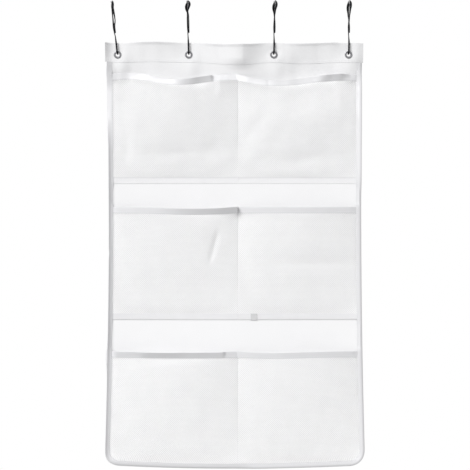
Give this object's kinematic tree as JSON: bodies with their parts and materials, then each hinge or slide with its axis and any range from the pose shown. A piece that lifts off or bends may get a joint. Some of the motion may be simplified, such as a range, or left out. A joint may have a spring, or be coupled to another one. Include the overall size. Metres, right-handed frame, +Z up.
{
  "type": "hanging mesh shower caddy",
  "caption": "White cloth caddy with rows of mesh pockets edged in grey satin, hung from a shower rod by spring-wire hooks through eyelets in its top hem; stores bath items.",
  "frame": {"origin": "the line where the hooks bear on the rod, midway across the caddy and in the panel's middle plane", "axes": "+X to the right seen from the front, +Y towards the back, +Z up"},
  "size_m": [0.4026, 0.0355, 0.7209],
  "materials": {
    "cloth": "plain woven polyester",
    "mesh": "open polyester mesh",
    "satin": "satin tape",
    "label": "blank woven tape",
    "nickel": "polished nickel",
    "dark_wire": "glossy dark plating"
  },
  "bodies": {
    "caddy": {"back_panel": "cloth", "header_band": "cloth", "edge_binding": "satin", "pocket_mesh_top": "mesh", "pocket_mesh_middle": "mesh", "pocket_mesh_bottom": "mesh", "pocket_ribbon_top": "satin", "pocket_ribbon_middle": "satin", "pocket_ribbon_bottom": "satin", "label_tab": "label", "grommet_1": "nickel", "grommet_2": "nickel", "grommet_3": "nickel", "grommet_4": "nickel", "grommet_washer_1": "nickel", "grommet_washer_2": "nickel", "grommet_washer_3": "nickel", "grommet_washer_4": "nickel"},
    "hook_1": {"hook_1": "dark_wire"},
    "hook_2": {"hook_2": "dark_wire"},
    "hook_3": {"hook_3": "dark_wire"},
    "hook_4": {"hook_4": "dark_wire"}
  },
  "joints": [
    {"name": "hook_1_swing", "type": "hinge", "parent": "caddy", "child": "hook_1", "pos_m": [-0.18, 0, -0.07846], "axis": [0, 1, 0], "range_deg": [-29, 41]},
    {"name": "hook_2_swing", "type": "hinge", "parent": "caddy", "child": "hook_2", "pos_m": [-0.0705, 0, -0.07846], "axis": [0, 1, 0], "range_deg": [-33.9, 36.1]},
    {"name": "hook_3_swing", "type": "hinge", "parent": "caddy", "child": "hook_3", "pos_m": [0.0605, 0, -0.07846], "axis": [0, 1, 0], "range_deg": [-36.4, 33.6]},
    {"name": "hook_4_swing", "type": "hinge", "parent": "caddy", "child": "hook_4", "pos_m": [0.1755, 0, -0.07846], "axis": [0, 1, 0], "range_deg": [-36, 34]}
  ]
}
